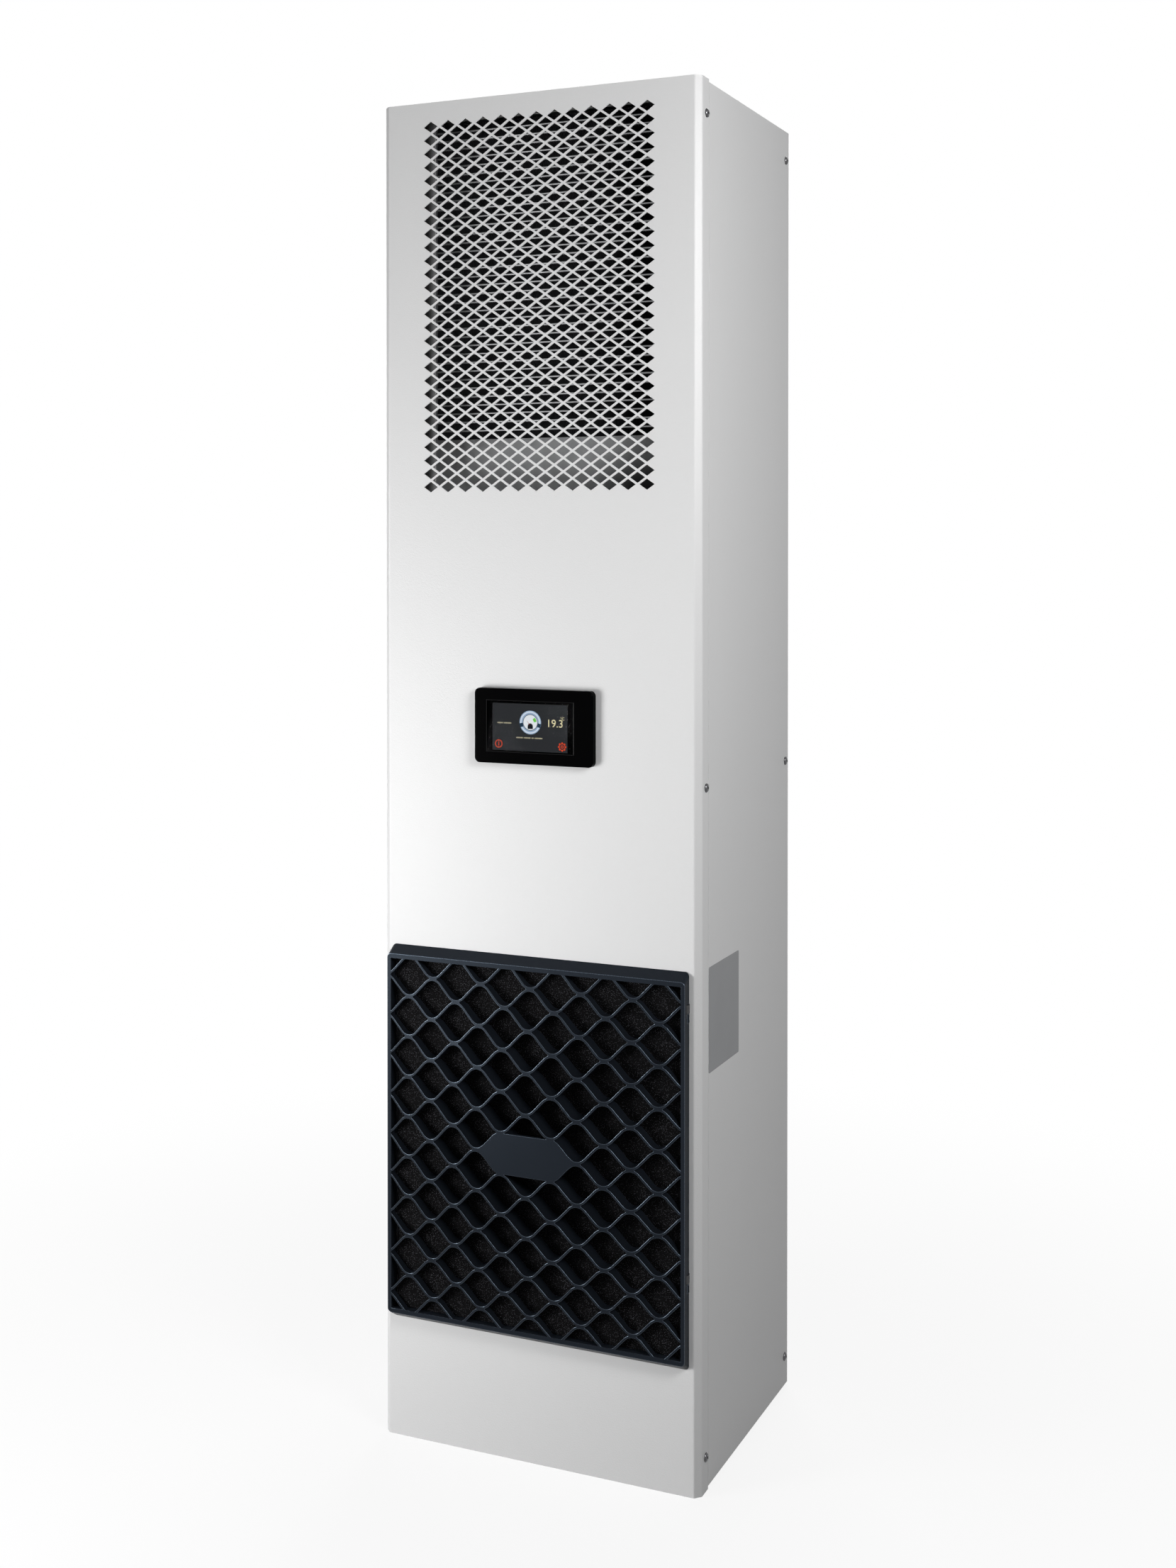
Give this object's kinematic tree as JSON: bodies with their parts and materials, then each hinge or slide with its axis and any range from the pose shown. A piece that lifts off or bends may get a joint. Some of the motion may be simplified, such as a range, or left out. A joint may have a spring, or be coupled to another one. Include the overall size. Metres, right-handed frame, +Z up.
{
  "type": "enclosure air conditioner",
  "caption": "Tall wall-mounted enclosure air conditioner with a domed wave-lattice intake grille, a touch display and a diamond-punched air outlet.",
  "frame": {"origin": "centre of the footprint, on the floor", "axes": "+Z up, -Y towards the front, +X to the right as the front is faced"},
  "size_m": [0.3992, 0.3466, 1.55],
  "materials": {
    "powder_coat": "fine textured light grey powder coat",
    "galvanised_sheet": "spangled zinc coat",
    "zinc_steel": "bright zinc plating",
    "foam_rubber": "matt black cellular rubber",
    "grille_plastic": "satin blue-black moulded plastic",
    "filter_foam": "open-cell reticulated foam",
    "bezel_plastic": "polished black",
    "screen_glass": "clear polished",
    "display_screen": "dark screen",
    "black_plastic": "black moulded plastic",
    "black_paint": "semi-gloss black paint",
    "coil_aluminium": "plain rolled aluminium",
    "tray_plastic": "grey moulded plastic",
    "copper": "drawn copper",
    "valve_brass": "machined brass",
    "board_laminate": "green board laminate",
    "terminal_plastic": "light grey moulded plastic"
  },
  "bodies": {
    "cabinet": {"front_cover": "powder_coat", "outlet_screen": "powder_coat", "right_side_panel": "powder_coat", "left_side_panel": "powder_coat", "top_panel": "powder_coat", "base_tray": "galvanised_sheet", "rear_panel": "galvanised_sheet", "coil_duct": "galvanised_sheet", "air_baffle": "galvanised_sheet", "fan_shroud": "galvanised_sheet", "partition_wall": "galvanised_sheet", "evaporator_brackets": "galvanised_sheet", "evaporator_inlet_ring": "galvanised_sheet", "control_box": "galvanised_sheet", "control_box_lid": "galvanised_sheet", "casing_screws": "zinc_steel", "mounting_nuts": "zinc_steel", "lifting_nuts": "zinc_steel", "grille_hinge_pins": "zinc_steel", "compressor_bolts": "zinc_steel", "fan_bracket": "zinc_steel", "accumulator_clamp": "zinc_steel", "rear_gasket": "foam_rubber", "compressor_grommets": "foam_rubber", "display_bezel": "bezel_plastic", "display_glass": "screen_glass", "display_panel": "display_screen", "display_back_box": "black_plastic", "compressor_terminal_cover": "black_plastic", "power_connector": "black_plastic", "run_capacitor": "black_plastic", "grille_hinge_brackets": "black_plastic", "compressor_shell": "black_paint", "accumulator": "black_paint", "condenser_fan_motor": "black_paint", "evaporator_fan_motor": "black_paint", "condenser_tubes": "coil_aluminium", "condenser_fins": "coil_aluminium", "condenser_headers": "coil_aluminium", "evaporator_tubes": "coil_aluminium", "evaporator_fins": "coil_aluminium", "evaporator_headers": "coil_aluminium", "condensate_tray": "tray_plastic", "drain_pipe": "tray_plastic", "discharge_pipe": "copper", "liquid_pipe": "copper", "suction_pipe": "copper", "filter_drier": "copper", "expansion_valve": "valve_brass", "control_board": "board_laminate", "terminal_block": "terminal_plastic"},
    "grille_door": {"intake_grille": "grille_plastic", "grille_catches": "zinc_steel", "filter_mat": "filter_foam"},
    "condenser_fan": {"condenser_fan_impeller": "black_plastic"},
    "evaporator_fan": {"evaporator_fan_impeller": "black_plastic"}
  },
  "joints": [
    {"name": "grille_hinge", "type": "hinge", "parent": "cabinet", "child": "grille_door", "pos_m": [0.182, -0.14705, 0.3578], "axis": [0, 0, 1], "range_deg": [0, 95]},
    {"name": "condenser_fan_spin", "type": "hinge", "parent": "cabinet", "child": "condenser_fan", "pos_m": [0, -0.05475, 1.349], "axis": [0, 1, 0], "continuous": true},
    {"name": "evaporator_fan_spin", "type": "hinge", "parent": "cabinet", "child": "evaporator_fan", "pos_m": [0, 0.10725, 1.33], "axis": [0, 1, 0], "continuous": true}
  ]
}
